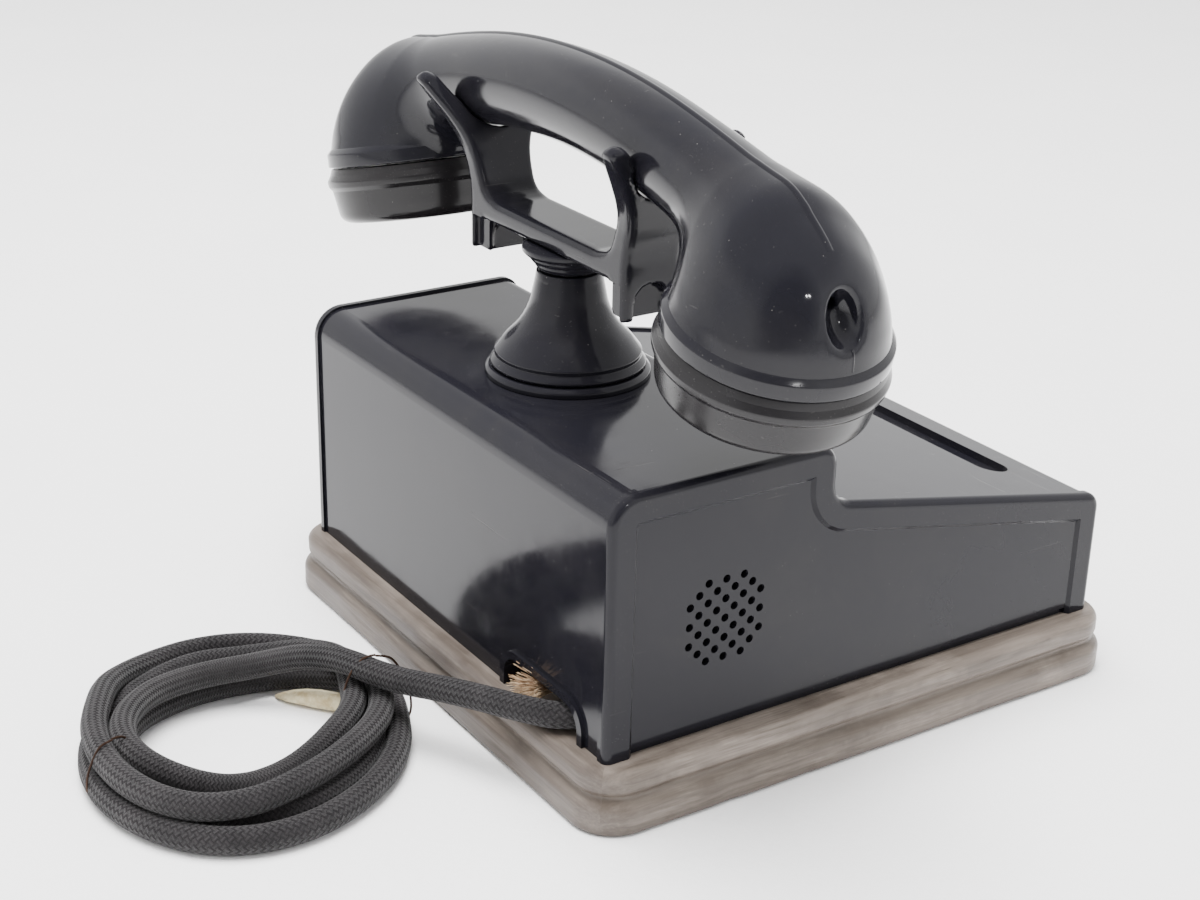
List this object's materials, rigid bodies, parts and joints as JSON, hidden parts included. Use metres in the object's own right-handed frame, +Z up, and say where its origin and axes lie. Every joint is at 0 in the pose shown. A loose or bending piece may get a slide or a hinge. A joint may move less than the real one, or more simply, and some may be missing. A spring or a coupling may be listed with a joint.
{
  "type": "desk magneto telephone",
  "caption": "Black desk telephone with a hand crank, a handset across a sprung four-prong cradle, a wooden plinth and a braided line cord coiled behind it.",
  "frame": {"origin": "centre of the underside of the wooden base", "axes": "+X to the user's right (the crank side), +Y to the back (the cord side), +Z up"},
  "size_m": [0.2636, 0.3132, 0.1978],
  "materials": {
    "wood": "worn dark-stained hardwood, grey-brown where the stain has rubbed off",
    "screw_steel": "dull steel",
    "chassis_steel": "grey lacquered sheet steel",
    "bakelite": "polished black phenolic with dust and fine scratches",
    "handset_bakelite": "polished black phenolic with dust specks",
    "cap_bakelite": "black phenolic, slightly duller than the shell",
    "plated_steel": "nickel plate, lightly dulled",
    "brass": "unpolished brass",
    "spring_steel": "drawn spring wire",
    "fibre": "red-brown vulcanised fibre",
    "capsule_alloy": "spun aluminium",
    "contact_silver": "nickel-silver spring strip",
    "magnet_steel": "blued magnet steel",
    "cast_poles": "machined iron",
    "winding_cotton": "silk-covered wire under green cotton tape",
    "gong_metal": "bell brass",
    "capacitor_can": "tinned can",
    "braid": "black-brown braided cotton",
    "torn_cotton": "frayed tan cotton"
  },
  "bodies": {
    "base": {"base_screws": "screw_steel", "capacitor": "capacitor_can", "case_shell": "bakelite", "chassis_plate": "chassis_steel", "chassis_screws": "screw_steel", "clapper_pin": "plated_steel", "contact_springs": "contact_silver", "cord_clamp": "fibre", "crank_bush": "plated_steel", "crank_bush_nut": "plated_steel", "gong_posts": "brass", "gong_screws": "screw_steel", "gongs": "gong_metal", "guide_bush": "brass", "handset_cord_stub": "torn_cotton", "hook_bracket": "chassis_steel", "induction_cheeks": "fibre", "induction_core": "magnet_steel", "induction_winding": "winding_cotton", "lever_pin": "plated_steel", "line_cord": "braid", "line_cord_coil": "braid", "magneto_base": "chassis_steel", "magneto_end_plates": "brass", "magneto_magnets": "magnet_steel", "magneto_poles": "cast_poles", "pedestal": "bakelite", "pedestal_flange": "bakelite", "pedestal_nut": "plated_steel", "plunger_spring": "spring_steel", "ringer_bobbins": "fibre", "ringer_coils": "winding_cotton", "ringer_cores": "magnet_steel", "ringer_frame": "chassis_steel", "switch_insulators": "fibre", "terminal_block": "bakelite", "terminal_screws": "brass", "wooden_base": "wood"},
    "cradle": {"cradle_fork": "bakelite", "plunger_collar": "bakelite", "plunger_rod": "plated_steel", "plunger_foot": "fibre"},
    "handset": {"handset_shell": "handset_bakelite", "ear_cap": "cap_bakelite", "mouth_cap": "cap_bakelite", "receiver_capsule": "capsule_alloy", "transmitter_capsule": "capsule_alloy", "handset_terminals": "brass"},
    "hook_lever": {"hook_lever": "brass"},
    "crank": {"crank_shaft": "plated_steel", "crank_arm": "plated_steel", "crank_nut": "plated_steel", "knob_pin": "plated_steel", "drive_gear": "brass"},
    "knob": {"crank_knob": "bakelite"},
    "armature": {"magneto_armature": "magnet_steel", "armature_winding": "winding_cotton", "pinion": "plated_steel"},
    "clapper": {"clapper": "brass", "clapper_armature": "magnet_steel"}
  },
  "joints": [
    {"name": "cradle_plunge", "type": "slide", "parent": "base", "child": "cradle", "axis": [0, 0, 1], "range_m": [0, 0.005], "stiffness_N_per_m": 260, "springref_m": 0.021, "deforming": ["plunger_spring"]},
    {"name": "handset_lift", "type": "slide", "parent": "cradle", "child": "handset", "axis": [0, 0, 1], "range_m": [0, 0.15]},
    {"name": "hook_lever_swing", "type": "hinge", "parent": "base", "child": "hook_lever", "pos_m": [0, 0.028, 0.0742], "axis": [1, 0, 0], "range_deg": [0, 14]},
    {"name": "crank_turn", "type": "hinge", "parent": "base", "child": "crank", "pos_m": [0.06, 0.036, 0.061], "axis": [1, 0, 0], "continuous": true},
    {"name": "crank_knob_spin", "type": "hinge", "parent": "crank", "child": "knob", "pos_m": [0.115, 0.036, 0.016], "axis": [1, 0, 0], "continuous": true},
    {"name": "armature_spin", "type": "hinge", "parent": "base", "child": "armature", "pos_m": [0.048, 0.036, 0.0345], "axis": [1, 0, 0], "continuous": true},
    {"name": "clapper_swing", "type": "hinge", "parent": "base", "child": "clapper", "pos_m": [-0.031, 0.045, 0.053], "axis": [0, 0, 1], "range_deg": [-3.5, 3.5]}
  ],
  "couplings": [
    {"joint": "hook_lever_swing", "follows": "cradle_plunge", "rad_per_m": 40},
    {"joint": "armature_spin", "follows": "crank_turn", "ratio": -3.8182}
  ]
}
